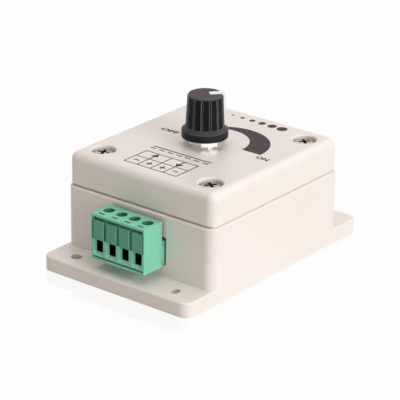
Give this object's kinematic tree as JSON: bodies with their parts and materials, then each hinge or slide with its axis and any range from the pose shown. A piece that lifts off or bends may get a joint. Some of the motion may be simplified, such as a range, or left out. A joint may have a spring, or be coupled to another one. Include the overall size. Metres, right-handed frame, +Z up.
{
  "type": "rotary led dimmer switch",
  "caption": "Low-voltage rotary dimmer in an ivory box with mounting ears, a black pointer knob and a green pluggable screw terminal.",
  "frame": {"origin": "middle of the underside, ears included", "axes": "+Z up along the knob's axis, -Y towards the terminal side, +X to the right as the terminals face the viewer"},
  "size_m": [0.058, 0.0884, 0.0525],
  "materials": {
    "ivory_plastic": "gloss",
    "knob_plastic": "satin",
    "pointer_plastic": "satin",
    "terminal_plastic": "satin",
    "plated_steel": "polished",
    "cast_zinc": "satin",
    "tinned_brass": "satin",
    "board_laminate": "satin",
    "wafer_laminate": "satin",
    "black_moulding": "matte",
    "tan_ceramic": "matte",
    "aluminium_can": "satin",
    "wire_insulation": "satin"
  },
  "bodies": {
    "box": {"base_tray": "ivory_plastic", "lid": "ivory_plastic", "header_shell": "terminal_plastic", "lid_screws": "plated_steel", "board_screws": "plated_steel", "pot_nut": "plated_steel", "pot_washer": "plated_steel", "pot_can": "plated_steel", "pot_bushing": "cast_zinc", "header_pin_1": "tinned_brass", "header_pin_2": "tinned_brass", "header_pin_3": "tinned_brass", "header_pin_4": "tinned_brass", "pot_lug_1": "tinned_brass", "pot_lug_2": "tinned_brass", "pot_lug_3": "tinned_brass", "mosfet_leads": "tinned_brass", "circuit_board": "board_laminate", "pot_wafer": "wafer_laminate", "mosfet_body": "black_moulding", "flyback_diode": "black_moulding", "control_chip": "black_moulding", "resistors": "black_moulding", "ceramic_capacitors": "tan_ceramic", "smoothing_capacitor": "aluminium_can", "pot_wire_1": "wire_insulation", "pot_wire_2": "wire_insulation", "pot_wire_3": "wire_insulation"},
    "knob": {"knob_body": "knob_plastic", "knob_pointer": "pointer_plastic", "pot_shaft": "cast_zinc", "pot_rotor": "black_moulding", "pot_wiper": "tinned_brass", "pot_clip": "plated_steel"},
    "plug": {"plug_housing": "terminal_plastic", "plug_contact_1": "tinned_brass", "plug_contact_2": "tinned_brass", "plug_contact_3": "tinned_brass", "plug_contact_4": "tinned_brass"},
    "clamp_screw_1": {"clamp_screw_1": "plated_steel"},
    "clamp_screw_2": {"clamp_screw_2": "plated_steel"},
    "clamp_screw_3": {"clamp_screw_3": "plated_steel"},
    "clamp_screw_4": {"clamp_screw_4": "plated_steel"},
    "clamp_cage_1": {"clamp_cage_1": "plated_steel"},
    "clamp_cage_2": {"clamp_cage_2": "plated_steel"},
    "clamp_cage_3": {"clamp_cage_3": "plated_steel"},
    "clamp_cage_4": {"clamp_cage_4": "plated_steel"}
  },
  "joints": [
    {"name": "knob_turn", "type": "hinge", "parent": "box", "child": "knob", "pos_m": [0, 0, 0.0356], "axis": [0, 0, 1], "range_deg": [-109, 191]},
    {"name": "plug_pull", "type": "slide", "parent": "box", "child": "plug", "axis": [0, -1, 0], "range_m": [0, 0.01]},
    {"name": "clamp_cage_1_lift", "type": "slide", "parent": "plug", "child": "clamp_cage_1", "axis": [0, 0, 1], "range_m": [0, 0.0025]},
    {"name": "clamp_screw_1_turn", "type": "hinge", "parent": "plug", "child": "clamp_screw_1", "pos_m": [-0.00762, -0.037, 0.021], "axis": [0, 0, 1], "range_deg": [-1800, 0]},
    {"name": "clamp_cage_2_lift", "type": "slide", "parent": "plug", "child": "clamp_cage_2", "axis": [0, 0, 1], "range_m": [0, 0.0025]},
    {"name": "clamp_screw_2_turn", "type": "hinge", "parent": "plug", "child": "clamp_screw_2", "pos_m": [-0.00254, -0.037, 0.021], "axis": [0, 0, 1], "range_deg": [-1800, 0]},
    {"name": "clamp_cage_3_lift", "type": "slide", "parent": "plug", "child": "clamp_cage_3", "axis": [0, 0, 1], "range_m": [0, 0.0025]},
    {"name": "clamp_screw_3_turn", "type": "hinge", "parent": "plug", "child": "clamp_screw_3", "pos_m": [0.00254, -0.037, 0.021], "axis": [0, 0, 1], "range_deg": [-1800, 0]},
    {"name": "clamp_cage_4_lift", "type": "slide", "parent": "plug", "child": "clamp_cage_4", "axis": [0, 0, 1], "range_m": [0, 0.0025]},
    {"name": "clamp_screw_4_turn", "type": "hinge", "parent": "plug", "child": "clamp_screw_4", "pos_m": [0.00762, -0.037, 0.021], "axis": [0, 0, 1], "range_deg": [-1800, 0]}
  ],
  "couplings": [
    {"joint": "clamp_screw_1_turn", "follows": "clamp_cage_1_lift", "rad_per_m": -12566},
    {"joint": "clamp_screw_2_turn", "follows": "clamp_cage_2_lift", "rad_per_m": -12566},
    {"joint": "clamp_screw_3_turn", "follows": "clamp_cage_3_lift", "rad_per_m": -12566},
    {"joint": "clamp_screw_4_turn", "follows": "clamp_cage_4_lift", "rad_per_m": -12566}
  ]
}
